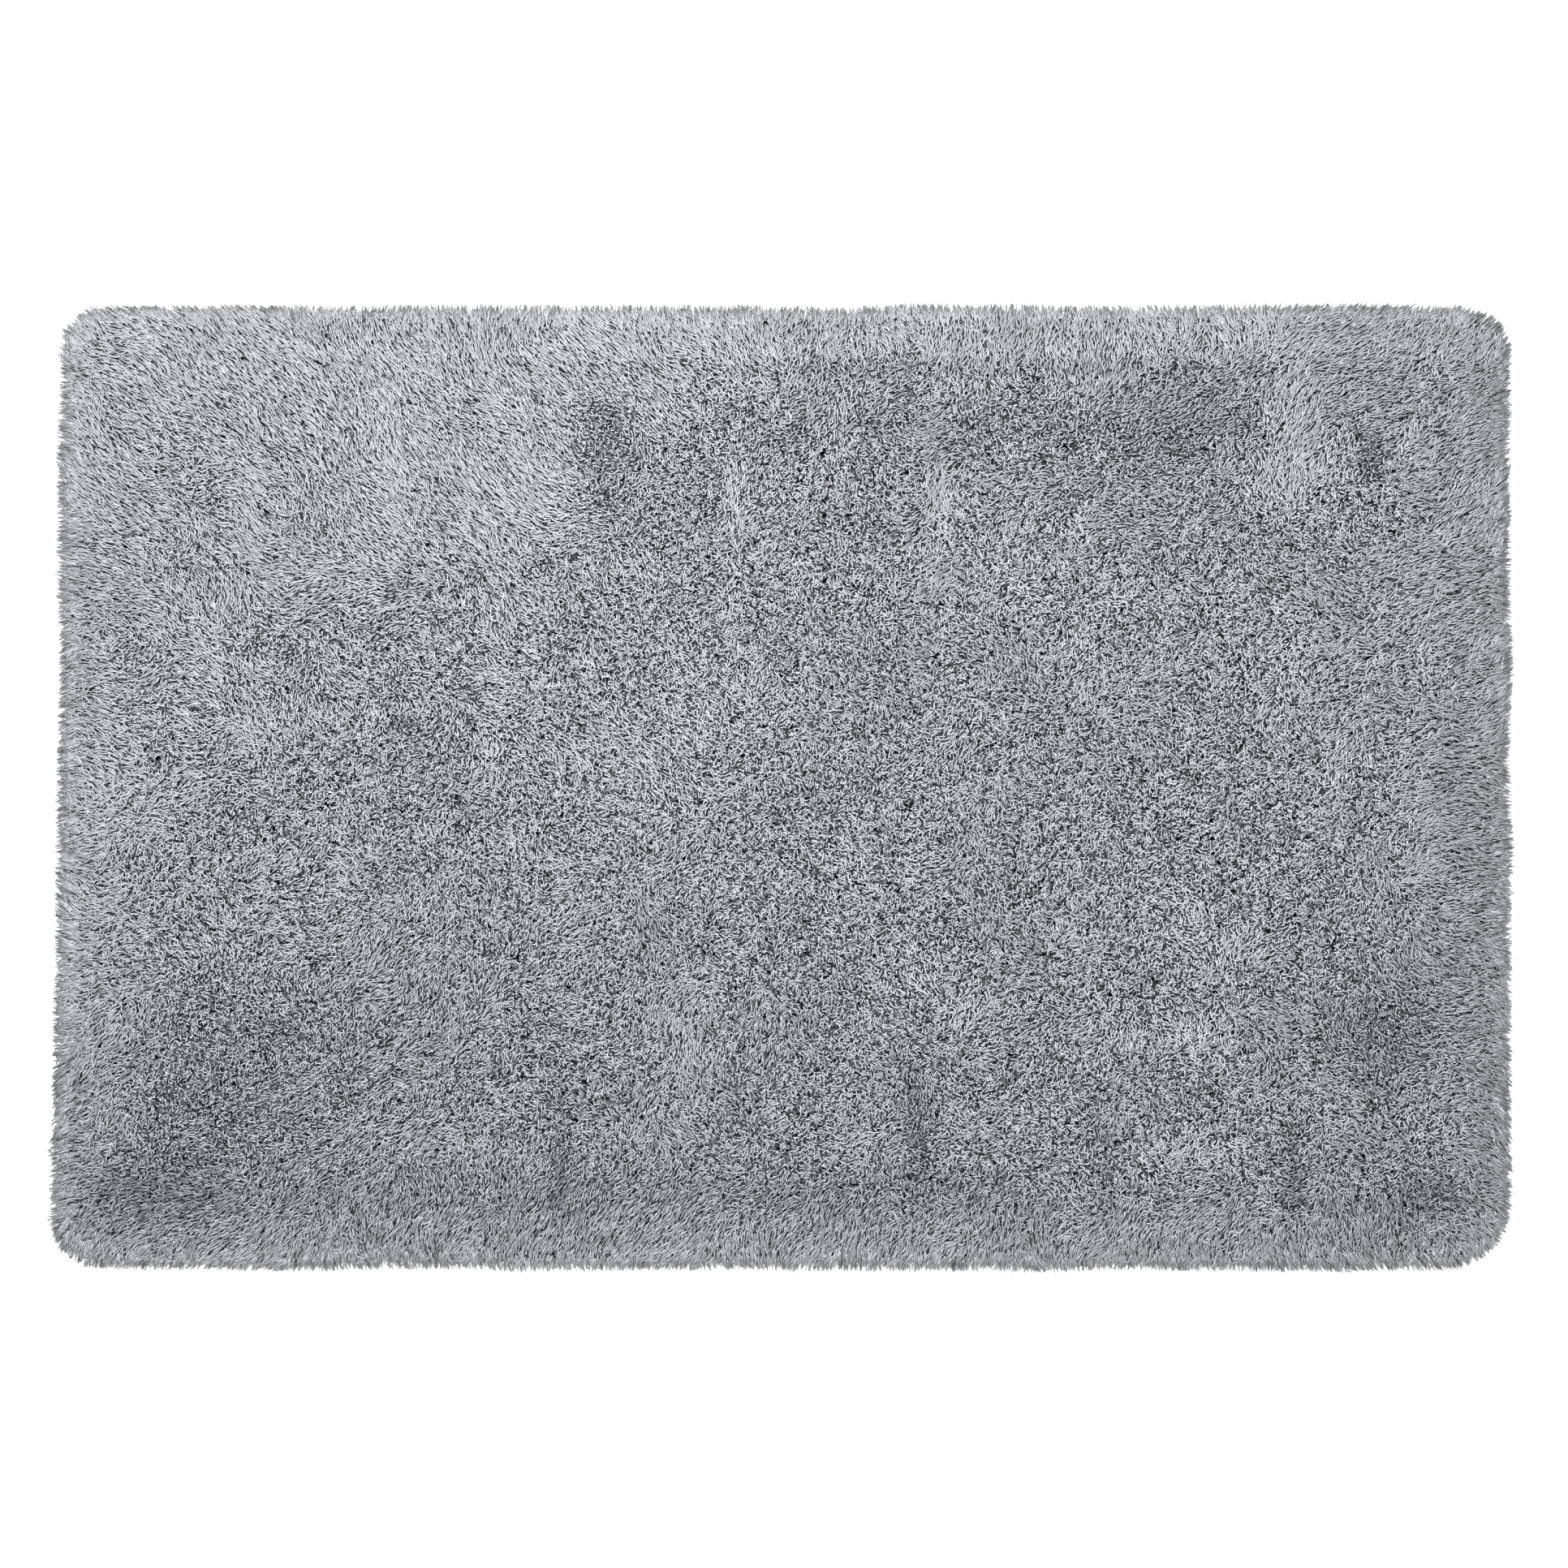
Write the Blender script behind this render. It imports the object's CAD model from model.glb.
# %% [markdown]
# # A grey shag rug
#
# A shag rug is a cloth with long soft yarns tufted through it, so close together that little but
# their tips shows. This lesson dresses a plain slab, the frame, as such a rug. The slab gives the
# outline and the lumps of the pile. The yarns, the dense pile under them and the cloth are made
# here.

import math
from collections import namedtuple

import bpy
import numpy as np
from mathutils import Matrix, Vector
from mathutils.bvhtree import BVHTree


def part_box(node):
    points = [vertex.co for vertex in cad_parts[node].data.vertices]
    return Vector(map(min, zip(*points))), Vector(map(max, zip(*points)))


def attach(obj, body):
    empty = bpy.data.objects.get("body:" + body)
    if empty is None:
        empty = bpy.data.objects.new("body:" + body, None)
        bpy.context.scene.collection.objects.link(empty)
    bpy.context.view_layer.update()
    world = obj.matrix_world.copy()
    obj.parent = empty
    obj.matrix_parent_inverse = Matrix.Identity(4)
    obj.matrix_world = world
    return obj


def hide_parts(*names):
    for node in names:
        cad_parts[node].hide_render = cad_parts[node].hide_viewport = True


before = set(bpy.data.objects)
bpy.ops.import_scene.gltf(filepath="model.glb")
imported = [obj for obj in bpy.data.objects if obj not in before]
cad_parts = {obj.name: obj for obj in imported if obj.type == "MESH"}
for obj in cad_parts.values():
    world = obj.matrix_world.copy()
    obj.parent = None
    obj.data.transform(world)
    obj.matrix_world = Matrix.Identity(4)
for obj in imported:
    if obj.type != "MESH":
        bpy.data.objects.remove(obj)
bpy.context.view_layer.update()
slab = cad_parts["shag_rug"]
slab_low, slab_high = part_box("shag_rug")
print("slab from", [round(x, 3) for x in slab_low], "to", [round(x, 3) for x in slab_high])

# %% [markdown]
# ## The camera
#
# The rug is seen from straight above, from so far away that its rim is not seen in perspective. A
# long lens does that. The rug lies a little off the middle of the view.

# %% Camera
VIEW_WIDTH = 1.951  # what the view spans at the top of the pile
CAMERA_HEIGHT = 5.0
SENSOR = 36.0  # mm
VIEW_CENTRE = (-0.0015, 0.0035)
PILE_LEVEL = 0.035

camera = bpy.data.objects.new("camera", bpy.data.cameras.new("camera"))
bpy.context.scene.collection.objects.link(camera)
camera.location = (*VIEW_CENTRE, CAMERA_HEIGHT + PILE_LEVEL)
camera.data.sensor_width = SENSOR
camera.data.lens = SENSOR * CAMERA_HEIGHT / VIEW_WIDTH
bpy.context.scene.camera = camera
print("lens", round(camera.data.lens, 1), "mm")

# %% [markdown]
# ## How tall the pile is
#
# Every yarn needs to know how high the pile stands where it ends. Rays shot straight down on the
# slab read that once, on a grid, and the grid is then looked up for all yarns together. The locks
# at the slab's rim have gaps between them, so each grid point takes the tallest of its neighbours.

# %% Read the heights of the slab
MAP_STEP = 0.005  # between the grid's points
MAP_MARGIN = 0.03
MAP_END = 1.001  # points beyond the grid are looked up just before its last point
ABOVE = 1.0
DOWN = Vector((0, 0, -1))

map_x = np.arange(slab_low.x - MAP_MARGIN, slab_high.x + MAP_MARGIN, MAP_STEP)
map_y = np.arange(slab_low.y - MAP_MARGIN, slab_high.y + MAP_MARGIN, MAP_STEP)
tree = BVHTree.FromObject(slab, bpy.context.evaluated_depsgraph_get())


def slab_height(x, y):
    hit = tree.ray_cast(Vector((x, y, ABOVE)), DOWN)[0]
    return hit.z if hit else 0.0


def with_neighbours(heights, combine):
    """Each point becomes the largest, or the mean, of the nine around it."""
    shifted = [np.roll(heights, (i, j), (0, 1)) for i in (-1, 0, 1) for j in (-1, 0, 1)]
    return combine(shifted, axis=0)


heights = np.array([[slab_height(x, y) for y in map_y] for x in map_x])
print("heights read at", heights.size, "points, up to", round(1000 * heights.max(), 1), "mm")
for combine in (np.max, np.max, np.mean, np.mean):
    heights = with_neighbours(heights, combine)

# %% Look heights up


def pile_top(x, y):
    """Height of the pile at points between those of the grid, by their four neighbours."""
    i = np.clip((x - map_x[0]) / MAP_STEP, 0, len(map_x) - MAP_END)
    j = np.clip((y - map_y[0]) / MAP_STEP, 0, len(map_y) - MAP_END)
    i0, j0 = i.astype(int), j.astype(int)
    i, j = i - i0, j - j0
    near = heights[i0, j0] * (1 - i) + heights[i0 + 1, j0] * i
    far = heights[i0, j0 + 1] * (1 - i) + heights[i0 + 1, j0 + 1] * i
    return near * (1 - j) + far * j


# %% [markdown]
# ## Where the rim is
#
# The yarns near the rim lean outwards, so each must know how far inside the outline it stands and
# which way is out. The sides of the rug are not quite straight: how far they reach is read from the
# tips of the slab's locks. The corners are quarter circles, whose radii differ a little.

# %% Reach of the four sides
LOCK_TIP_TOP = 0.012  # lock tips lie lower than this
STATION_STEP = 0.03
# How far the yarns reach past the locks on each side, and how round each corner is, by its signs.
PAST_LOCKS = {"right": 0.006, "left": 0.009, "top": 0.002, "bottom": 0.004}
CORNER_RADII = {(1, 1): 0.052, (-1, 1): 0.050, (-1, -1): 0.060, (1, -1): 0.082}
LARGEST_CORNER = max(CORNER_RADII.values())

corners_of_slab = np.array([v.co for v in slab.data.vertices])
lock_tips = corners_of_slab[corners_of_slab[:, 2] < LOCK_TIP_TOP]


def reach_along(out, along, half_side):
    """How far out the lock tips reach, at stations along a side."""
    end = half_side - LARGEST_CORNER
    stations = np.linspace(-end, end, int(2 * end / STATION_STEP))
    reach = [out[abs(along - station) < STATION_STEP].max() for station in stations]
    padded = np.pad(reach, 1, mode="edge")
    return stations, (padded[:-2] + padded[1:-1] + padded[2:]) / 3


SIDES = {
    "right": reach_along(lock_tips[:, 0], lock_tips[:, 1], slab_high.y),
    "left": reach_along(-lock_tips[:, 0], lock_tips[:, 1], slab_high.y),
    "top": reach_along(lock_tips[:, 1], lock_tips[:, 0], slab_high.x),
    "bottom": reach_along(-lock_tips[:, 1], lock_tips[:, 0], slab_high.x),
}
SIDES = {side: (stations, reach + PAST_LOCKS[side]) for side, (stations, reach) in SIDES.items()}
for side, (_, reach) in SIDES.items():
    print(side, "reaches", round(1000 * reach.min()), "to", round(1000 * reach.max()), "mm")

# %% How far inside the rim a point is, and which way is out
CORNER_FAN = 0.13  # at a corner the way out fans from a point this far inside both sides
PILE_FAN = 0.42  # the pile lies as if brushed outwards from this far inside
SMALLEST = 1e-6  # keeps a length from being zero
PULLS = 4  # each pull brings a point nearer to where it belongs


def reach_beside(x, y):
    """How far the rug reaches along X beside each point, and how far along Y."""
    along_x = np.where(x > 0, np.interp(y, *SIDES["right"]), np.interp(y, *SIDES["left"]))
    along_y = np.where(y > 0, np.interp(x, *SIDES["top"]), np.interp(x, *SIDES["bottom"]))
    return along_x, along_y


def inside_rim(x, y):
    """Distance to the outline, which is below zero outside it."""
    reach_x, reach_y = reach_beside(x, y)
    radius = np.zeros_like(x)
    for (x_sign, y_sign), corner_radius in CORNER_RADII.items():
        radius[((x > 0) == (x_sign > 0)) & ((y > 0) == (y_sign > 0))] = corner_radius
    over_x = abs(x) - (reach_x - radius)
    over_y = abs(y) - (reach_y - radius)
    corner = np.hypot(np.maximum(over_x, 0), np.maximum(over_y, 0))
    return radius - corner - np.minimum(np.maximum(over_x, over_y), 0)


def way_out(x, y, fan=CORNER_FAN):
    """Unit arrows that point out over the nearest rim, fanned from some way inside."""
    reach_x, reach_y = reach_beside(x, y)
    out_x = x - np.clip(x, fan - reach_x, reach_x - fan)
    out_y = y - np.clip(y, fan - reach_y, reach_y - fan)
    length = np.maximum(np.hypot(out_x, out_y), SMALLEST)
    return out_x / length, out_y / length


def pulled_inside(x, y, inset):
    """Points nearer to the rim than the inset are moved in."""
    for _ in range(PULLS):
        short = np.maximum(inset - inside_rim(x, y), 0)
        out_x, out_y = way_out(x, y)
        x, y = x - out_x * short, y - out_y * short
    return x, y


print("the middle is", round(1000 * float(inside_rim(np.zeros(1), np.zeros(1))[0])), "mm inside")

# %% [markdown]
# ## The cloth
#
# The yarns are tufted through a stiff woven cloth. The pile hides it, and it ends well inside the
# outline, because the outer yarns lean over its edge. It is modelled as it is cut: a flat piece,
# its corners rounded off, and then given its thickness.

# %% Small helpers for pieces


def deselect_all():
    bpy.ops.object.select_all(action="DESELECT")


def apply_modifier(piece, kind, **settings):
    modifier = piece.modifiers.new(kind.lower(), kind)
    for name, value in settings.items():
        setattr(modifier, name, value)
    bpy.context.view_layer.objects.active = piece
    bpy.ops.object.modifier_apply(modifier=modifier.name)


def finish_piece(piece, name, material):
    piece.name = piece.data.name = name
    piece.data.materials.clear()
    piece.data.materials.append(material)
    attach(piece, "root")


# %% Cloth
CLOTH_INSET = 0.045  # from the outline to the cloth's edge
CLOTH_THICKNESS = 0.0025
CLOTH_CORNER = 0.030

cloth_size = (
    slab_high.x - slab_low.x - 2 * CLOTH_INSET,
    slab_high.y - slab_low.y - 2 * CLOTH_INSET,
)
deselect_all()
bpy.ops.mesh.primitive_plane_add(size=1)
cloth = bpy.context.object
cloth.scale = (*cloth_size, 1)
bpy.ops.object.transform_apply()
bpy.ops.object.mode_set(mode="EDIT")
bpy.ops.mesh.bevel(offset=CLOTH_CORNER, segments=8, affect="VERTICES")
bpy.ops.object.mode_set(mode="OBJECT")
apply_modifier(cloth, "SOLIDIFY", thickness=CLOTH_THICKNESS, offset=1.0)
print("cloth", [round(side, 3) for side in cloth_size], "m,", len(cloth.data.polygons), "faces")

# %% [markdown]
# ## The dense pile under the tips
#
# Below their tips the yarns stand so close that they are one dark soft mass, where single yarns
# can't be told apart. A grid is sunk under the slab's surface to where the gaps between the tips
# end, its border is drawn in to a rounded outline, and it is closed underneath.

# %% Dense pile
SUNK = 0.010  # how far below the tips the dense pile starts
DENSE_INSET = 0.013  # from the outline of the yarns
DENSE_CELLS = (78, 52)
DENSE_LEAST = 0.005  # no part of its top lies lower
NEAR_TOGETHER = 0.0002  # corners nearer than this become one

deselect_all()
bpy.ops.mesh.primitive_grid_add(
    x_subdivisions=DENSE_CELLS[0], y_subdivisions=DENSE_CELLS[1], size=2
)
dense = bpy.context.object
dense.scale = (slab_high.x, slab_high.y, 1)
bpy.ops.object.transform_apply()
grid_points = np.array([v.co for v in dense.data.vertices])
x, y = pulled_inside(grid_points[:, 0], grid_points[:, 1], DENSE_INSET)
dense_top = np.maximum(pile_top(x, y) - SUNK, DENSE_LEAST)
dense.data.vertices.foreach_set("co", np.column_stack([x, y, dense_top]).ravel())

bpy.ops.object.mode_set(mode="EDIT")
bpy.ops.mesh.select_all(action="SELECT")
bpy.ops.mesh.remove_doubles(threshold=NEAR_TOGETHER)
bpy.ops.mesh.extrude_region_move()
bpy.ops.object.mode_set(mode="OBJECT")
for vert in dense.data.vertices:
    if vert.select:
        vert.co.z = CLOTH_THICKNESS
bpy.ops.object.mode_set(mode="EDIT")
bpy.ops.mesh.select_all(action="SELECT")
bpy.ops.mesh.normals_make_consistent(inside=False)
bpy.ops.object.mode_set(mode="OBJECT")
dense.data.shade_smooth()
print("dense pile", len(dense.data.polygons), "faces")

# %% [markdown]
# ## How the pile lies
#
# The beauty of a shag rug is in how its pile lies. Packed rolled or folded, it keeps streaks where
# the yarns are pressed over, and feet and hands brush it into patches. Yarns that lie over show
# their long sides and look light, and those that stand up show only tips and dark gaps. Each streak
# and patch is listed here with its middle, half its size, how far its yarns lean, and how much
# lighter or darker they look. Soft noise fills in the rest. Combing so many yarns by hand would be
# slow, and each streak can still be moved by changing one line.

# %% Streaks and patches of the pile
Brushed = namedtuple("Brushed", "x y half_x half_y lean_x lean_y shade")
PATCH_EDGE = 1.2  # above 1, a patch ends more sharply
BRUSHED = (
    Brushed(-0.560, 0.400, 0.380, 0.260, -0.014, 0.012, -0.08),  # brushed over, upper left
    Brushed(-0.300, 0.555, 0.350, 0.060, -0.012, 0.002, 0.02),
    Brushed(0.450, 0.480, 0.330, 0.130, 0.010, 0.004, -0.06),
    Brushed(0.840, 0.050, 0.110, 0.420, 0.011, 0.001, -0.04),  # over to the right
    Brushed(0.550, -0.540, 0.360, 0.080, -0.012, -0.004, 0.00),
    Brushed(-0.450, -0.320, 0.330, 0.220, -0.006, -0.005, -0.06),
    Brushed(-0.740, -0.420, 0.180, 0.150, 0.000, 0.000, -0.12),
    Brushed(0.300, 0.470, 0.500, 0.055, 0.000, 0.000, -0.12),
    Brushed(-0.840, 0.250, 0.050, 0.250, 0.000, 0.000, -0.08),
    Brushed(-0.669, 0.358, 0.016, 0.090, -0.004, 0.010, 0.12),
    Brushed(-0.669, 0.075, 0.014, 0.045, -0.004, 0.010, 0.14),
    Brushed(-0.498, 0.424, 0.030, 0.130, -0.006, 0.010, 0.12),
    Brushed(-0.331, 0.414, 0.080, 0.080, -0.008, 0.006, 0.08),
    Brushed(-0.230, 0.424, 0.040, 0.080, 0.004, -0.004, -0.16),
    Brushed(-0.063, 0.348, 0.012, 0.170, 0.000, 0.010, 0.08),
    Brushed(0.190, 0.372, 0.018, 0.160, -0.002, 0.014, 0.14),
    Brushed(0.210, 0.262, 0.035, 0.025, 0.012, 0.004, 0.14),
    Brushed(0.487, 0.454, 0.090, 0.070, 0.000, 0.000, -0.14),
    Brushed(0.640, 0.459, 0.035, 0.080, 0.006, 0.008, 0.14),
    Brushed(0.000, -0.570, 0.950, 0.090, -0.012, 0.000, 0.00),  # sideways along the bottom
    Brushed(-0.280, -0.485, 0.014, 0.100, 0.000, 0.000, -0.20),
    Brushed(0.164, -0.435, 0.020, 0.100, 0.000, 0.000, -0.20),
    Brushed(0.397, -0.475, 0.014, 0.060, 0.000, 0.000, -0.20),
    Brushed(0.629, -0.495, 0.014, 0.080, 0.000, 0.000, -0.20),
    Brushed(0.000, -0.512, 0.850, 0.040, 0.000, 0.000, -0.16),
    Brushed(0.164, 0.525, 0.430, 0.011, 0.000, 0.000, -0.22),
    Brushed(0.843, 0.000, 0.010, 0.430, 0.000, 0.000, -0.12),
    Brushed(-0.805, -0.515, 0.110, 0.050, 0.000, 0.000, -0.25),
    Brushed(0.790, -0.515, 0.050, 0.040, 0.000, 0.000, -0.20),
    Brushed(0.765, -0.308, 0.075, 0.075, 0.000, 0.000, -0.18),
    Brushed(0.493, -0.450, 0.075, 0.020, 0.010, 0.004, 0.20),
    Brushed(0.352, -0.172, 0.025, 0.020, 0.008, 0.000, 0.18),
    Brushed(0.503, -0.314, 0.035, 0.020, 0.010, 0.000, 0.18),
    Brushed(-0.129, -0.324, 0.040, 0.090, 0.004, -0.004, 0.12),
    Brushed(-0.840, -0.016, 0.035, 0.035, 0.006, 0.000, 0.18),
    Brushed(-0.472, 0.080, 0.020, 0.012, 0.000, 0.000, -0.30),
    Brushed(-0.487, 0.252, 0.018, 0.020, 0.000, 0.000, -0.30),
    Brushed(0.730, 0.403, 0.020, 0.030, 0.000, 0.000, -0.28),
)


def brushed(x, y):
    """Lean and shade that the streaks and patches give to yarns at these places."""
    total = np.zeros((3, len(x)))
    for patch in BRUSHED:
        away = ((x - patch.x) / patch.half_x) ** 2 + ((y - patch.y) / patch.half_y) ** 2
        strength = np.exp(-(away**PATCH_EDGE))
        total += np.outer((patch.lean_x, patch.lean_y, patch.shade), strength)
    return total


print(len(BRUSHED), "streaks and patches")

# %% Soft noise


def soft_noise(x, y, pitch, layer):
    """Values from -1 to 1 that change smoothly, with about one lump to a pitch."""
    span_x, span_y = map_x[-1] - map_x[0], map_y[-1] - map_y[0]
    cells = np.random.default_rng(layer).uniform(
        -1, 1, (int(span_x / pitch) + 4, int(span_y / pitch) + 4)
    )
    i, j = (x - map_x[0]) / pitch + 1, (y - map_y[0]) / pitch + 1
    i0, j0 = np.floor(i).astype(int), np.floor(j).astype(int)
    i, j = i - i0, j - j0
    i, j = i * i * (3 - 2 * i), j * j * (3 - 2 * j)
    near = cells[i0, j0] * (1 - i) + cells[i0 + 1, j0] * i
    far = cells[i0, j0 + 1] * (1 - i) + cells[i0 + 1, j0 + 1] * i
    return near * (1 - j) + far * j


# %% [markdown]
# ## Where the yarns end
#
# The pile is so dense that its tips cover it evenly, whichever way the yarns lean. So the tips are
# spread first, on a grid with each one moved a little, and the roots are found from them. Yarns of
# one tuft cling together, so each also belongs to a small clump, which leans its own way and stands
# a little higher or lower than the next.

# %% Tips
TIP_JITTER = 0.5  # share of the pitch
RAGGED = 0.007  # how far tips fall short of the outline
RAGGED_POWER = 1.5  # above 1, most of them nearly reach it
TUFTS = 0.003  # how far small tufts reach past it, or fall short of it
TUFT_NOISE = (0.015, 54)  # pitch, layer
chance = np.random.default_rng(7)


def spread_tips(pitch, least_inset, most_inset=1.0):
    """Places of tips, and how far inside the outline they are."""
    row_x, row_y = np.arange(map_x[0], map_x[-1], pitch), np.arange(map_y[0], map_y[-1], pitch)
    x, y = (grid.ravel() for grid in np.meshgrid(row_x, row_y))
    x = x + pitch * chance.uniform(-TIP_JITTER, TIP_JITTER, x.size)
    y = y + pitch * chance.uniform(-TIP_JITTER, TIP_JITTER, y.size)
    inset = inside_rim(x, y)
    ragged = RAGGED * chance.random(x.size) ** RAGGED_POWER - TUFTS * soft_noise(x, y, *TUFT_NOISE)
    chosen = (inset > least_inset + ragged) & (inset < most_inset)
    return x[chosen], y[chosen], inset[chosen]


# %% Clumps
CLUMP_PITCH = 0.0085
CLUMP_TABLE = 256  # the table of random numbers repeats after this many clumps
CLUMP_JITTER = (0.05, 0.95)  # where in its cell a clump may lie
clump_shift = chance.uniform(*CLUMP_JITTER, (2, CLUMP_TABLE, CLUMP_TABLE))
clump_mood = chance.normal(0, 1, (4, CLUMP_TABLE, CLUMP_TABLE))


def clump_of(x, y):
    """The random numbers of the nearest clump."""
    cell_x, cell_y = np.floor(x / CLUMP_PITCH).astype(int), np.floor(y / CLUMP_PITCH).astype(int)
    best = np.full(x.shape, np.inf)
    found = np.zeros((4, x.size))
    for i in (-1, 0, 1):
        for j in (-1, 0, 1):
            row, column = (cell_x + i) % CLUMP_TABLE, (cell_y + j) % CLUMP_TABLE
            middle_x = (cell_x + i + clump_shift[0, row, column]) * CLUMP_PITCH
            middle_y = (cell_y + j + clump_shift[1, row, column]) * CLUMP_PITCH
            away = np.hypot(middle_x - x, middle_y - y)
            nearer = away < best
            best[nearer] = away[nearer]
            found[:, nearer] = clump_mood[:, row, column][:, nearer]
    return found


print("clumps every", round(1000 * CLUMP_PITCH, 1), "mm")

# %% [markdown]
# ## The crown
#
# Inside the rim the yarns stand upright and tip over a little. Only their upper ends show, so each
# is modelled from a little below the top of the dense pile. Curves with a bevel would make rounder
# yarns, but two hundred thousand of them would be far too heavy. So each is the smallest closed
# body that still looks like a yarn: a strip, twisted a little, that four faces close.
#
# Neighbouring yarns tip over the same way, so a flow is worked out first: from swirls, from the
# patches above, and from the way out near the rim. Clumps and single yarns then stray from it.

# %% Which way the yarns tip over
SWIRLS = ((0.110, 1.0, 11), (0.048, 0.9, 21), (0.024, 0.5, 31))  # pitch, strength, layer
FLOW_BY_LEAN = 90.0  # how strongly a patch draws the flow, by its lean
COMBED_BY_LEAN = 50.0  # one over the lean at which a patch is wholly combed over
OUTWARD_AT = 0.022  # tips nearer to the outline than this belong to yarns that lean straight out
OUTWARD_FROM = 0.200  # yarns start to lean outwards this far inside the outline
OUTWARD_UNEVEN = 0.014  # more or less
OUTWARD_NOISE = (0.06, 41)  # pitch, layer
OUTWARD_PULL = 2.0
CALMED = 0.5  # share of the swirls that is lost where the yarns lean straight out
RIM_TURNS = ((0.100, 0.50, 53), (0.045, 0.35, 55))  # pitch, radians, layer


def outwards(x, y):
    """The way out, turned a little to either side, so that the rim lies in small locks."""
    out_x, out_y = way_out(x, y, PILE_FAN)
    turn = sum(angle * soft_noise(x, y, pitch, layer) for pitch, angle, layer in RIM_TURNS)
    return out_x * np.cos(turn) - out_y * np.sin(turn), out_x * np.sin(turn) + out_y * np.cos(turn)


def flow_of(x, y, inset):
    """Arrows of about unit length, and how far outward, combed and light the pile is there."""
    brush_x, brush_y, shade = brushed(x, y)
    combed = np.minimum(COMBED_BY_LEAN * np.hypot(brush_x, brush_y), 1)
    flow_x, flow_y = FLOW_BY_LEAN * brush_x, FLOW_BY_LEAN * brush_y
    for pitch, strength, layer in SWIRLS:
        flow_x = flow_x + strength * soft_noise(x, y, pitch, layer)
        flow_y = flow_y + strength * soft_noise(x, y, pitch, layer + 1)
    inset = inset + OUTWARD_UNEVEN * soft_noise(x, y, *OUTWARD_NOISE)
    outward = np.clip((OUTWARD_FROM - inset) / (OUTWARD_FROM - OUTWARD_AT), 0, 1) ** 2
    out_x, out_y = outwards(x, y)
    flow_x = flow_x * (1 - CALMED * outward) + OUTWARD_PULL * outward * out_x
    flow_y = flow_y * (1 - CALMED * outward) + OUTWARD_PULL * outward * out_y
    return flow_x, flow_y, outward, combed, shade


# %% Paths of the crown's yarns
CROWN_PITCH = 0.00313  # from tip to tip
OVERHANG = 0.0055  # how far the tips may reach beyond the outline
CROWN_DEPTH = 0.018  # how far down a yarn of the crown is modelled
CLUMP_TURN = 0.5  # how far clumps turn away from the flow
YARN_TURN = 0.8  # and single yarns
LEAN = 0.0110  # from the root to below the tip
LEAST_LEAN = 0.003
LEAN_UNEVEN = 0.0035
LEAN_PRESSED = 0.0060  # more or less where the pile is light or dark
PRESSED_BY_SHADE = 5.0
PRESSED_UNEVEN = 0.4
PRESSED_NOISE = (0.030, 71)  # pitch, layer
LEAST_FLOW = 1e-3
MOST_STRETCH = 1.3  # a strong flow makes yarns lean this much further at most
COMBED_LEAN = 0.004  # more where it is combed over
COMBED_ORDER = 0.30  # how much more evenly the yarns lie there
RIM_LEAN = 0.018  # and the same three at the rim
RIM_LEAN_UNEVEN = 0.005
RIM_ORDER = 0.20
TIP_DEPTH = 0.010  # how far down tips may end
TIP_RISE = 0.003  # how far they may stand above the slab
TIP_DIMMING = (0.008, 0.014, 0.36)  # tips this far down start to darken, over this depth, at most
CLUMP_STEP = 0.0018  # how much higher or lower clumps stand
HOLE_NOISE = (0.0075, 81)  # small hollows: pitch, layer
HOLE_FROM = 0.40  # where the noise is above this
HOLE_DEPTH = 0.0020
HOLE_SHADE = 0.05
RIM_FLOOR = 0.0025  # no tip of the crown ends lower
ROOT_INSET = 0.009  # no root stands nearer to the outline


def crown_paths(x, y, inset):
    """Root and tip of each yarn, with what its place does to its shade and its light."""
    count = x.size
    flow_x, flow_y, outward, combed, shade = flow_of(x, y, inset)
    mood_x, mood_y, mood_z, mood_shade = clump_of(x, y)
    hole = np.clip((soft_noise(x, y, *HOLE_NOISE) - HOLE_FROM) / (1 - HOLE_FROM), 0, 1)
    shade = shade - HOLE_SHADE * hole
    turn = (1 - RIM_ORDER * outward) * (1 - COMBED_ORDER * combed)
    flow_x = flow_x + turn * (CLUMP_TURN * mood_x + YARN_TURN * chance.normal(0, 1, count))
    flow_y = flow_y + turn * (CLUMP_TURN * mood_y + YARN_TURN * chance.normal(0, 1, count))
    strength = np.maximum(np.hypot(flow_x, flow_y), LEAST_FLOW)
    pressed = PRESSED_BY_SHADE * shade + PRESSED_UNEVEN * soft_noise(x, y, *PRESSED_NOISE)
    lean = LEAN + LEAN_PRESSED * np.clip(pressed, -1, 1) + LEAN_UNEVEN * chance.normal(0, 1, count)
    stretch = np.minimum(MOST_STRETCH, (1 + strength) / 2)
    lean = np.maximum(lean, LEAST_LEAN) * stretch + COMBED_LEAN * combed
    lean = lean + outward * (RIM_LEAN + RIM_LEAN_UNEVEN * chance.normal(0, 1, count) - lean)
    root_x, root_y = pulled_inside(
        x - flow_x * lean / strength, y - flow_y * lean / strength, ROOT_INSET
    )
    root_z = np.maximum(pile_top(root_x, root_y) - CROWN_DEPTH, CLOTH_THICKNESS)
    lowered = TIP_DEPTH * chance.random(count) ** 2 - CLUMP_STEP * mood_z + HOLE_DEPTH * hole
    tip_z = np.maximum(pile_top(x, y) - np.maximum(lowered, -TIP_RISE), RIM_FLOOR)
    root, tip = np.column_stack([root_x, root_y, root_z]), np.column_stack([x, y, tip_z])
    start, depth, most = TIP_DIMMING
    dimming = np.clip((lowered - start) / depth, 0, most)
    return np.stack([root, tip], axis=1), shade, mood_shade, dimming


crown_path, crown_shade, crown_mood, crown_dimming = crown_paths(
    *spread_tips(CROWN_PITCH, -OVERHANG)
)
print(len(crown_path), "yarns in the crown")

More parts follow.
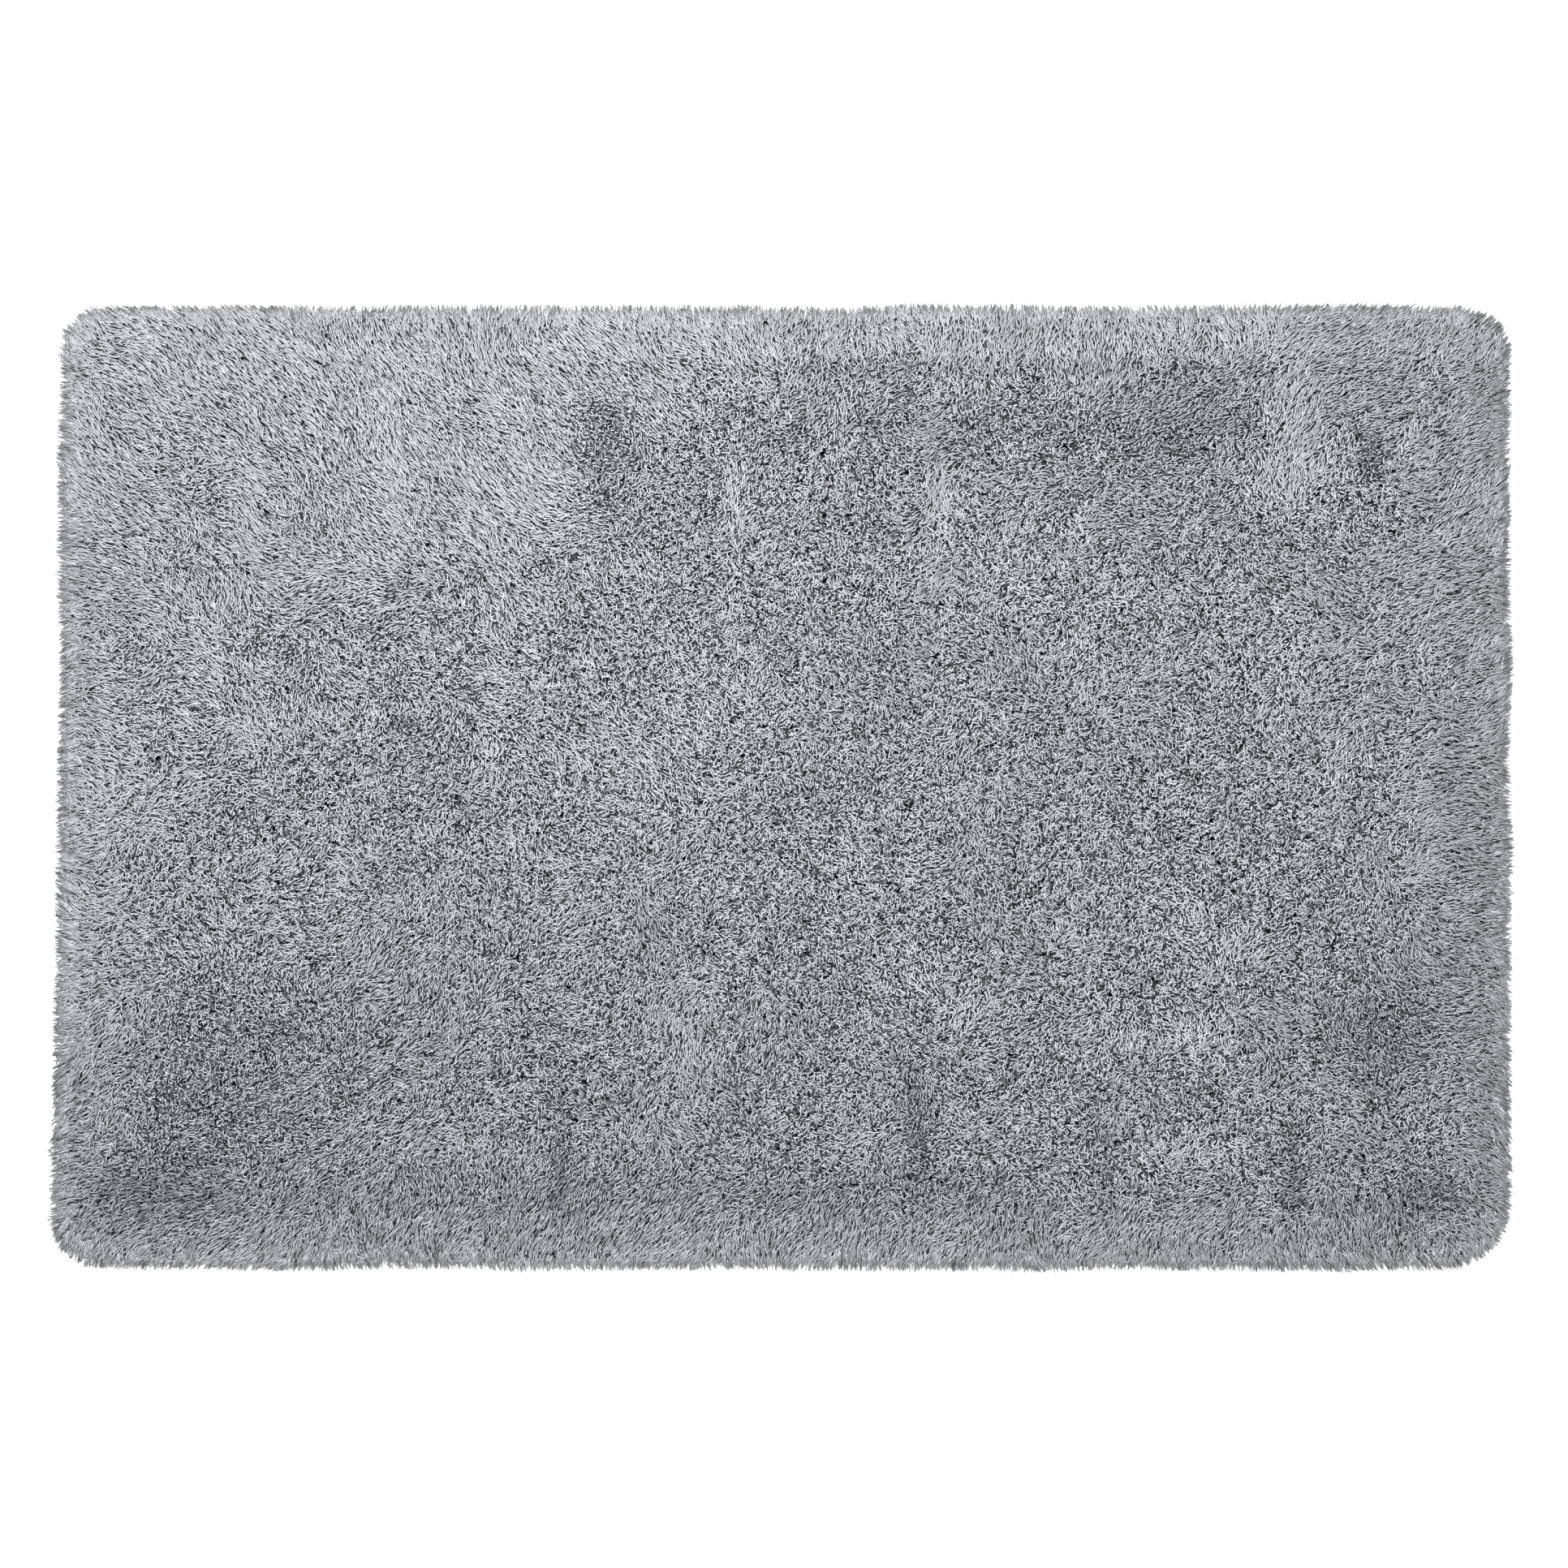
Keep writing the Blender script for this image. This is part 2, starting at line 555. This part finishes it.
# %% [markdown]
# ## The rim
#
# Round the rim the yarns have nothing beside them to hold them up, so they lean out and droop to
# the floor, in layers over each other. More of their length is seen, so each has a root in the
# dense pile, a bend, and a tapered tip, where its plies come apart. Most of them end near the
# outline, and fewer and fewer further in, so that no border shows where the crown begins. Hair
# particles would droop as well, but these few points a yarn are lighter and lie where they are put.

# %% Paths of the rim's yarns
RIM_PITCH = 0.0050
RIM_INSET = 0.045  # their tips end this near to the outline
ROOTS_FROM = 0.044  # their roots start this far inside the outline
ROOTS_BAND = 0.012  # in a band this wide
SIDE_SWAY = 0.009  # how far they sway sideways
SWAY_WIDE = (0.09, 51)  # pitch, layer
SWAY_NARROW = (0.02, 52)
WIDE_SHARE = 1.3  # how strong the wide sway is beside the narrow one
SWAY_UNEVEN = 0.6  # and how strong each yarn's own is
SWAY_POWER = 1.5  # above 1, most of the sway is near the root
BEND_UNEVEN = 0.0012
RIM_BENDS = (0.0, 0.45, 1.0)  # shares of the length
TOP_LAYER = 0.62  # share of the pile's height at which the highest of them lie
LAYERS = 0.52  # the lowest at the outline lie this much lower
LAYER_POWER = 1.2
ROOT_ARCH = 0.55  # share of the height of the bend at which the roots are
TOUCHDOWN = (0.4, 1.8)  # how high above the floor tips end, as shares of RIM_FLOOR


def rim_paths(x, y, inset):
    """Root, bend and tip of each yarn."""
    count = x.size
    out_x, out_y = outwards(x, y)
    sway = WIDE_SHARE * soft_noise(x, y, *SWAY_WIDE) + soft_noise(x, y, *SWAY_NARROW)
    sway = SIDE_SWAY * (sway + SWAY_UNEVEN * chance.normal(0, 1, count))
    reach = ROOTS_FROM - inset + ROOTS_BAND * chance.random(count)
    lowered = LAYERS * chance.random(count) ** LAYER_POWER * np.clip(1 - inset / RIM_INSET, 0, 1)
    layer = TOP_LAYER - lowered
    low = RIM_FLOOR * chance.uniform(*TOUCHDOWN, count)
    points = []
    for share in RIM_BENDS:
        back = (1 - share) * reach
        uneven = BEND_UNEVEN * chance.normal(0, 1, count) * (share < 1)
        side = sway * (1 - share) ** SWAY_POWER + uneven
        point_x = x - out_x * back - out_y * side
        point_y = y - out_y * back + out_x * side
        top = pile_top(point_x, point_y)
        arch = ROOT_ARCH + (1 - ROOT_ARCH) * min(1.0, share / RIM_BENDS[1])
        z = low + (top - low) * layer * arch
        points.append(np.column_stack([point_x, point_y, np.maximum(z, low)]))
    return np.stack(points, axis=1)


# %% Tips of the rim's yarns
EDGE_TIPS = 1.0  # as many more yarns end right at the outline, in layers down to the floor

rim_x, rim_y, rim_inset = spread_tips(RIM_PITCH, -OVERHANG, RIM_INSET)
kept = chance.random(rim_x.size) > rim_inset / RIM_INSET
rim_x, rim_y, rim_inset = rim_x[kept], rim_y[kept], rim_inset[kept]
again = chance.choice(rim_x.size, int(rim_x.size * EDGE_TIPS))
to_edge = rim_inset[again] + OVERHANG - RAGGED * chance.random(again.size) ** RAGGED_POWER
out_x, out_y = way_out(rim_x[again], rim_y[again])
rim_x = np.append(rim_x, rim_x[again] + out_x * to_edge)
rim_y = np.append(rim_y, rim_y[again] + out_y * to_edge)
rim_inset = np.append(rim_inset, rim_inset[again] - to_edge)
rim_path = rim_paths(rim_x, rim_y, rim_inset)
print(len(rim_path), "yarns in the rim")

# %% [markdown]
# ## From paths to meshes
#
# A yarn's path is a row of points. It becomes a strip about 1.3 mm wide that is closed underneath.
# Separate objects would take hours, so all the yarns of a panel are written into one mesh at once,
# each still a closed body of its own. The yarn's map, OFBake, holds its shade across, in 64 steps,
# and the light that reaches it from root to tip, so that one finish can colour every yarn.

# %% Corners and faces of a yarn
YARN_RADIUS = 0.00065
STRIP_TWIST = 0.5  # how far the ends of a short yarn are turned, as a share of the radius
TIP_TAPER = 0.4  # width of a long yarn's tip
SHADE_STEPS = 64
MAP_HALF_WIDTH = 0.4 / SHADE_STEPS  # less than half a step, so that no yarn reaches the next shade


def square_to(along):
    """Two unit arrows square to each path: one level, and one pointing up from it."""
    side = np.cross(along, (0, 0, 1)) + SMALLEST
    side /= np.linalg.norm(side, axis=-1, keepdims=True)
    up = np.cross(side, along)
    return side, up / np.linalg.norm(up, axis=-1, keepdims=True)


def short_yarns(path, radius):
    """A strip from root to tip, twisted a little, which four faces close."""
    side, up = square_to(path[:, 1] - path[:, 0])
    side, up = side * radius, up * radius * STRIP_TWIST
    root, tip = path[:, 0], path[:, 1]
    corners = np.stack(
        [root - side + up, root + side - up, tip - side - up, tip + side + up], axis=1
    )
    left, right = -MAP_HALF_WIDTH, MAP_HALF_WIDTH
    corner_places = ((left, 0.0), (right, 0.0), (left, 1.0), (right, 1.0))
    faces = ((0, 1, 3), (0, 3, 2), (0, 2, 1), (1, 2, 3))
    places = [[corner_places[corner] for corner in face] for face in faces]
    return corners, faces, places


def long_yarns(path, radius):
    """A root, and a left and a right corner at the bend and at the tip: six triangles."""
    side, up = square_to(path[:, 2] - path[:, 0])
    root, bend, tip = path[:, 0], path[:, 1], path[:, 2]
    bowed_up = ((bend - root) * up).sum(axis=1) > 0
    side = np.where(bowed_up[:, None], side, -side) * radius  # keeps the faces outward
    end = side * TIP_TAPER
    corners = np.stack([root, bend - side, bend + side, tip - end, tip + end], axis=1)
    left, right = -MAP_HALF_WIDTH, MAP_HALF_WIDTH
    low, middle, high = RIM_BENDS
    faces = ((0, 2, 1), (1, 2, 4, 3), (0, 3, 4), (0, 1, 3), (0, 4, 2))
    places = (
        ((0, low), (right, middle), (left, middle)),
        ((left, middle), (right, middle), (right, high), (left, high)),
        ((0, low), (left, high), (right, high)),
        ((right, low), (left, middle), (right, high)),
        ((left, low), (left, high), (right, middle)),
    )
    return corners, faces, places


# %% One mesh of many yarns


def yarn_mesh(name, yarns, shade, root_light, tip_light):
    """Joins the yarns, each a closed body of its own, into one piece."""
    corners, faces, places = yarns
    count, per_yarn, _ = corners.shape
    sizes = np.array([len(face) for face in faces])
    loops = np.concatenate(faces)[None] + per_yarn * np.arange(count)[:, None]
    starts = np.concatenate([[0], np.cumsum(np.tile(sizes, count))[:-1]])
    uv = np.repeat(np.concatenate(places)[None], count, axis=0)
    uv[:, :, 0] += (np.floor(shade * SHADE_STEPS)[:, None] + 0.5) / SHADE_STEPS
    uv[:, :, 1] = root_light[:, None] + (tip_light - root_light)[:, None] * uv[:, :, 1]

    mesh = bpy.data.meshes.new(name)
    mesh.vertices.add(count * per_yarn)
    mesh.vertices.foreach_set("co", corners.astype(np.float32).ravel())
    mesh.loops.add(loops.size)
    mesh.loops.foreach_set("vertex_index", loops.astype(np.int32).ravel())
    mesh.polygons.add(count * len(faces))
    mesh.polygons.foreach_set("loop_start", starts.astype(np.int32))
    mesh.update(calc_edges=True)
    mesh.uv_layers.new(name="OFBake").data.foreach_set("uv", uv.astype(np.float32).ravel())
    piece = bpy.data.objects.new(name, mesh)
    bpy.context.scene.collection.objects.link(piece)
    print(name, count, "yarns,", count * int((sizes - 2).sum()), "triangles")
    return piece


# %% [markdown]
# ## Shades of the yarns
#
# No two yarns have quite the same grey, and neither have two clumps. The rim looks lighter than the
# crown, because its yarns show their long sides to the sky and light reaches their roots. Painting
# that by hand on so many yarns is hopeless, so each shade is worked out from where the yarn ends.

# %% Shades of the yarns
SHADE_MIDDLE = 0.61
SHADE_LIMITS = (0.02, 0.98)
YARN_SHADE = 0.19  # how far single yarns differ
CLUMP_SHADE = 0.04  # how far clumps differ
CROWN_UNEVEN = 0.03  # how far larger areas differ
CROWN_NOISE = (0.07, 61)  # pitch, layer
RIM_UNEVEN = 0.04
RIM_NOISE = (0.03, 62)
LIGHT_FALL = 0.09  # from the middle to the long sides
SIDE_SHADES = {"top": 0.20, "left": 0.17, "right": 0.32, "bottom": 0.30}
RIM_FADE = 0.062  # the rim's lighter tone fades over this far inwards
FRINGE = 0.016  # the very ends at the outline are palest
FRINGE_SHADE = 0.16
OPEN_RIM = 0.042  # light reaches the roots at the outline, and less and less this far inwards
OPEN_MOST = 0.50
RIM_OPEN = 0.5  # share of it for the long yarns, whose roots lie deeper
RIM_DARKER = 0.08  # the long yarns lie lower than the crown
RIM_DIMMING = 0.60  # how much darker than their neighbours the yarns at the rim may be


def limited(shade):
    return np.clip(shade, *SHADE_LIMITS)


def light_fall(y):
    """The pile gets a little darker from the upper long side of the rug to the lower one."""
    return LIGHT_FALL * y / slab_high.y


def rim_tone(x, y, inset):
    """How much lighter the rim is on each side."""
    out_x, out_y = way_out(x, y)
    fade = np.clip(1 - inset / RIM_FADE, 0, 1)
    fringe = np.clip(1 - (inset + OVERHANG) / FRINGE, 0, 1)
    return FRINGE_SHADE * fringe + fade * (
        SIDE_SHADES["top"] * np.maximum(out_y, 0)
        + SIDE_SHADES["bottom"] * np.maximum(-out_y, 0)
        + SIDE_SHADES["left"] * np.maximum(-out_x, 0)
        + SIDE_SHADES["right"] * np.maximum(out_x, 0)
    )


def open_share(inset):
    """How much of the light reaches the roots."""
    return OPEN_MOST * np.clip(1 - (inset + OVERHANG) / OPEN_RIM, 0, 1)


crown_x, crown_y, _ = crown_path[:, 1].T
crown_inset = inside_rim(crown_x, crown_y)
crown_shade = limited(
    SHADE_MIDDLE
    + crown_shade
    + CLUMP_SHADE * crown_mood
    + YARN_SHADE * chance.normal(0, 1, len(crown_path))
    + light_fall(crown_y)
    + rim_tone(crown_x, crown_y, crown_inset)
    + CROWN_UNEVEN * soft_noise(crown_x, crown_y, *CROWN_NOISE)
)
rim_dimming = RIM_DIMMING * chance.random(len(rim_path)) ** 2
rim_shade = limited(
    SHADE_MIDDLE
    - RIM_DARKER
    + rim_tone(rim_x, rim_y, rim_inset)
    + YARN_SHADE * chance.normal(0, 1, len(rim_path))
    + RIM_UNEVEN * soft_noise(rim_x, rim_y, *RIM_NOISE)
)
print("mean shade in the crown", round(crown_shade.mean(), 2))
print("mean shade at the rim", round(rim_shade.mean(), 2))

# %% [markdown]
# ## Helpers for the finishes
#
# All finishes are built from nodes, so that they stay sharp from near and far. Three things come
# back in each of them: ramps, sums, and a relief in which what stands high is also less rough than
# what lies low. The relief is a node group, built once and placed in each with its own values.

# %% Ramps and sums


def new_material(name):
    material = bpy.data.materials.new(name)
    material.use_nodes = True
    return material, material.node_tree.nodes, material.node_tree.links


def ramp_node(nodes, stops):
    """A colour ramp with these places and greys or colours."""
    ramp = nodes.new("ShaderNodeValToRGB")
    ramp.color_ramp.elements.remove(ramp.color_ramp.elements[0])
    for i, (place, colour) in enumerate(stops):
        element = ramp.color_ramp.elements[0] if i == 0 else ramp.color_ramp.elements.new(place)
        element.position = place
        element.color = (*colour, 1) if hasattr(colour, "__len__") else (colour,) * 3 + (1,)
    return ramp


def calculated(nodes, links, kind, operation, first, second):
    """The result of a Math or Vector Math node, whose inputs are sockets or plain values."""
    node = nodes.new(kind)
    node.operation = operation
    for socket, value in zip(node.inputs, (first, second)):
        if isinstance(value, bpy.types.NodeSocket):
            links.new(value, socket)
        else:
            socket.default_value = value
    return node.outputs[0]


def multiplied(nodes, links, first, second):
    """Two colours multiplied."""
    mix = nodes.new("ShaderNodeMix")
    mix.data_type = "RGBA"
    mix.blend_type = "MULTIPLY"
    mix.inputs["Factor"].default_value = 1.0
    links.new(first, mix.inputs["A"])
    links.new(second, mix.inputs["B"])
    return mix.outputs["Result"]


# %% Relief group
relief = bpy.data.node_groups.new("soft_relief", "ShaderNodeTree")
for name in ("Height", "Roughness Low", "Roughness High", "Strength", "Distance"):
    relief.interface.new_socket(name, in_out="INPUT", socket_type="NodeSocketFloat")
relief.interface.new_socket("Roughness", in_out="OUTPUT", socket_type="NodeSocketFloat")
relief.interface.new_socket("Normal", in_out="OUTPUT", socket_type="NodeSocketVector")
given = relief.nodes.new("NodeGroupInput")
result = relief.nodes.new("NodeGroupOutput")
dull = relief.nodes.new("ShaderNodeMapRange")
bump = relief.nodes.new("ShaderNodeBump")
for source, socket in (
    (given.outputs["Height"], dull.inputs["Value"]),
    (given.outputs["Roughness Low"], dull.inputs["To Min"]),
    (given.outputs["Roughness High"], dull.inputs["To Max"]),
    (dull.outputs["Result"], result.inputs["Roughness"]),
    (given.outputs["Height"], bump.inputs["Height"]),
    (given.outputs["Strength"], bump.inputs["Strength"]),
    (given.outputs["Distance"], bump.inputs["Distance"]),
    (bump.outputs["Normal"], result.inputs["Normal"]),
):
    relief.links.new(source, socket)


def add_relief(nodes, links, height, rough_low, rough_high, strength, distance):
    """Gives the material's shader a relief and a roughness that follow the height."""
    group = nodes.new("ShaderNodeGroup")
    group.node_tree = relief
    links.new(height, group.inputs["Height"])
    group.inputs["Roughness Low"].default_value = rough_low
    group.inputs["Roughness High"].default_value = rough_high
    group.inputs["Strength"].default_value = strength
    group.inputs["Distance"].default_value = distance
    links.new(group.outputs["Roughness"], nodes["Principled BSDF"].inputs["Roughness"])
    links.new(group.outputs["Normal"], nodes["Principled BSDF"].inputs["Normal"])


print("relief group with", len(relief.nodes), "nodes")

# %% [markdown]
# ## Finish of the yarn
#
# The yarn is matt polyester, spun a little unevenly in a cool grey. Its map holds the shade across,
# which one ramp turns into the greys of the pile, and the light upwards, which another turns into
# the dark between the tips. The edges of each yarn are darker too, where it touches the next, and a
# slanted ripple is the twist of its plies. A picture of yarns would smear where the pile bends.

# %% Yarn finish
TWISTS = 14  # turns of the plies along the modelled length
TURN = 2 * math.pi

yarn_finish, nodes, links = new_material("grey_pile_yarn")
shader = nodes["Principled BSDF"]
shader.inputs["Sheen Weight"].default_value = 0.12
shader.inputs["Sheen Roughness"].default_value = 0.4
shader.inputs["Specular IOR Level"].default_value = 0.12

yarn_map = nodes.new("ShaderNodeUVMap")
yarn_map.uv_map = "OFBake"
shade_and_light = nodes.new("ShaderNodeSeparateXYZ")
links.new(yarn_map.outputs["UV"], shade_and_light.inputs[0])
shade, light = shade_and_light.outputs["X"], shade_and_light.outputs["Y"]
greys = ramp_node(
    nodes,
    (
        (0.0, (0.26, 0.268, 0.315)),
        (0.50, (0.72, 0.73, 0.795)),
        (1.0, (0.915, 0.94, 1.0)),
    ),
)
links.new(shade, greys.inputs["Fac"])
depth = ramp_node(nodes, ((0.0, 0.003), (0.33, 0.02), (0.44, 0.12), (0.59, 0.80), (0.74, 1.0)))
links.new(light, depth.inputs["Fac"])

steps = calculated(nodes, links, "ShaderNodeMath", "MULTIPLY", shade, SHADE_STEPS)
across = calculated(nodes, links, "ShaderNodeMath", "FRACT", steps, 0.0)
sides = ramp_node(nodes, ((0.12, 0.1), (0.32, 1.0), (0.68, 1.0), (0.88, 0.1)))
links.new(across, sides.inputs["Fac"])
coloured = multiplied(nodes, links, greys.outputs["Color"], depth.outputs["Color"])
coloured = multiplied(nodes, links, coloured, sides.outputs["Color"])
links.new(coloured, shader.inputs["Base Color"])

turns = calculated(nodes, links, "ShaderNodeMath", "MULTIPLY", light, TWISTS * TURN)
slant = calculated(nodes, links, "ShaderNodeMath", "MULTIPLY", across, TURN)
angle = calculated(nodes, links, "ShaderNodeMath", "ADD", turns, slant)
ridge = calculated(nodes, links, "ShaderNodeMath", "SINE", angle, 0.0)
add_relief(nodes, links, ridge, rough_low=0.70, rough_high=0.55, strength=0.15, distance=0.0002)

# %% [markdown]
# ## Finishes of the dense pile and the cloth
#
# Between the tips, only bits of the yarns below catch a little light. So the dense pile is close to
# black, with faint grey dashes: a Voronoi texture gives each small tuft its own direction and tone,
# and a second one, drawn out along that direction, makes the dashes. Plain noise was not used,
# because it looks like dust rather than yarn. The cloth is hidden, and two crossed waves weave it.

# %% Dense pile finish
TUFT_SCALE = 145.0  # tufts to a metre
DASH_SCALE = 480.0
DASH_SHAPE = (1.0, 0.22, 0.22)  # drawn out about five times as long as wide
ANY_WAY = 6.3  # radians, about a full turn

dense_finish, nodes, links = new_material("dense_pile")
shader = nodes["Principled BSDF"]
shader.inputs["Specular IOR Level"].default_value = 0.0
place = nodes.new("ShaderNodeTexCoord").outputs["Object"]
tuft = nodes.new("ShaderNodeTexVoronoi")
tuft.inputs["Scale"].default_value = TUFT_SCALE
links.new(place, tuft.inputs["Vector"])
tuft_random = tuft.outputs["Color"]
from_tuft = calculated(
    nodes, links, "ShaderNodeVectorMath", "SUBTRACT", place, tuft.outputs["Position"]
)
turned = nodes.new("ShaderNodeVectorRotate")
turned.rotation_type = "Z_AXIS"
links.new(from_tuft, turned.inputs["Vector"])
tuft_angle = calculated(nodes, links, "ShaderNodeMath", "MULTIPLY", tuft_random, ANY_WAY)
links.new(tuft_angle, turned.inputs["Angle"])
drawn_out = calculated(
    nodes, links, "ShaderNodeVectorMath", "MULTIPLY", turned.outputs["Vector"], DASH_SHAPE
)
dashes = nodes.new("ShaderNodeTexVoronoi")
dashes.voronoi_dimensions = "2D"
dashes.inputs["Scale"].default_value = DASH_SCALE
links.new(
    calculated(nodes, links, "ShaderNodeVectorMath", "ADD", drawn_out, tuft_random),
    dashes.inputs["Vector"],
)
dash_colour = ramp_node(nodes, ((0.18, (0.20, 0.203, 0.22)), (0.62, (0.004, 0.004, 0.006))))
links.new(dashes.outputs["Distance"], dash_colour.inputs["Fac"])
tuft_tone = nodes.new("ShaderNodeMapRange")
tuft_tone.inputs["From Min"].default_value = 0.25
tuft_tone.inputs["From Max"].default_value = 0.60
tuft_tone.inputs["To Min"].default_value = 0.35
tuft_tone.inputs["To Max"].default_value = 0.70
links.new(tuft_random, tuft_tone.inputs["Value"])
coloured = multiplied(nodes, links, dash_colour.outputs["Color"], tuft_tone.outputs["Result"])
links.new(coloured, shader.inputs["Base Color"])
height = calculated(nodes, links, "ShaderNodeMath", "SUBTRACT", 1.0, dashes.outputs["Distance"])
add_relief(nodes, links, height, rough_low=1.0, rough_high=0.85, strength=0.55, distance=0.002)

# %% Cloth finish
WEAVE_PITCH = 0.0024  # from thread to thread

cloth_finish, nodes, links = new_material("woven_cloth")
shader = nodes["Principled BSDF"]
shader.inputs["Specular IOR Level"].default_value = 0.2
place = nodes.new("ShaderNodeTexCoord").outputs["Object"]
threads = []
for direction in ("X", "Y"):
    wave = nodes.new("ShaderNodeTexWave")
    wave.bands_direction = direction
    wave.inputs["Scale"].default_value = TURN / 20 / WEAVE_PITCH  # at 1, it has 20 waves in 2 pi
    wave.inputs["Distortion"].default_value = 0.6
    links.new(place, wave.inputs["Vector"])
    threads.append(wave.outputs["Fac"])
weave = calculated(nodes, links, "ShaderNodeMath", "MAXIMUM", *threads)
weave_colour = ramp_node(nodes, ((0.30, (0.20, 0.19, 0.17)), (0.85, (0.56, 0.55, 0.52))))
links.new(weave, weave_colour.inputs["Fac"])
links.new(weave_colour.outputs["Color"], shader.inputs["Base Color"])
add_relief(nodes, links, weave, rough_low=0.95, rough_high=0.80, strength=0.6, distance=0.0004)
print("finishes:", *(finish.name for finish in (yarn_finish, dense_finish, cloth_finish)))

# %% [markdown]
# ## The pieces together
#
# The yarns are split into panels from left to right, so that no piece gets too heavy. Each piece
# gets its name and its finish and rides on the rug's one body. The dense pile takes the place of
# the plain slab. The cloth carries the rest, as the yarn of the real rug is tufted into it.

# %% Finish the pieces
CROWN_PANELS = 5
RIM_PANELS = 2


def panels(order, count):
    """Which yarns go into each panel, in this order."""
    return np.array_split(np.argsort(order), count)


pile = []
for i, chosen in enumerate(panels(crown_x, CROWN_PANELS)):
    yarns = short_yarns(crown_path[chosen], YARN_RADIUS)
    lit = open_share(crown_inset[chosen]), 1 - crown_dimming[chosen]
    pile.append(yarn_mesh(f"crown_pile_{i + 1}", yarns, crown_shade[chosen], *lit))
for i, chosen in enumerate(panels(rim_x, RIM_PANELS)):
    yarns = long_yarns(rim_path[chosen], YARN_RADIUS)
    lit = RIM_OPEN * open_share(rim_inset[chosen]), 1 - rim_dimming[chosen]
    pile.append(yarn_mesh(f"rim_pile_{i + 1}", yarns, rim_shade[chosen], *lit))
for piece in pile:
    finish_piece(piece, piece.name, yarn_finish)
finish_piece(dense, "dense_pile", dense_finish)
finish_piece(cloth, "cloth", cloth_finish)
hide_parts("shag_rug")
print(len(pile) + 2, "pieces")

# %% [markdown]
# ## Floor and light
#
# The rug lies on a plain pale floor under soft light. Most of it comes from all round, and a large
# soft lamp, over the rug but towards its upper left corner, gives the pile its shadows.

# %% Floor
FLOOR_SIZE = 60
FLOOR_GREY = 0.92

deselect_all()
bpy.ops.mesh.primitive_plane_add(size=FLOOR_SIZE)
floor = bpy.context.object
floor.name = "floor"
floor_finish, nodes, links = new_material("pale_floor")
nodes["Principled BSDF"].inputs["Base Color"].default_value = (*[FLOOR_GREY] * 3, 1)
nodes["Principled BSDF"].inputs["Roughness"].default_value = 0.9
floor.data.materials.append(floor_finish)

# %% Light
WORLD_LIGHT = 0.75
LAMP_POWER = 204  # W
LAMP_SIZE = 1.6
LAMP_PLACE = (-0.45, 0.65, 4.1)

world = bpy.data.worlds.new("studio")
bpy.context.scene.world = world
world.use_nodes = True
world.node_tree.nodes["Background"].inputs["Color"].default_value = (1, 1, 1, 1)
world.node_tree.nodes["Background"].inputs["Strength"].default_value = WORLD_LIGHT

lamp = bpy.data.objects.new("lamp", bpy.data.lights.new("lamp", "AREA"))
bpy.context.scene.collection.objects.link(lamp)
lamp.data.shape = "DISK"
lamp.data.size = LAMP_SIZE
lamp.data.energy = LAMP_POWER
lamp.location = LAMP_PLACE
lamp.visible_camera = False
lamp.rotation_euler = Vector(lamp.location).to_track_quat("Z", "Y").to_euler()

bpy.context.scene.view_settings.view_transform = "Standard"
print("lamp of", LAMP_POWER, "W")
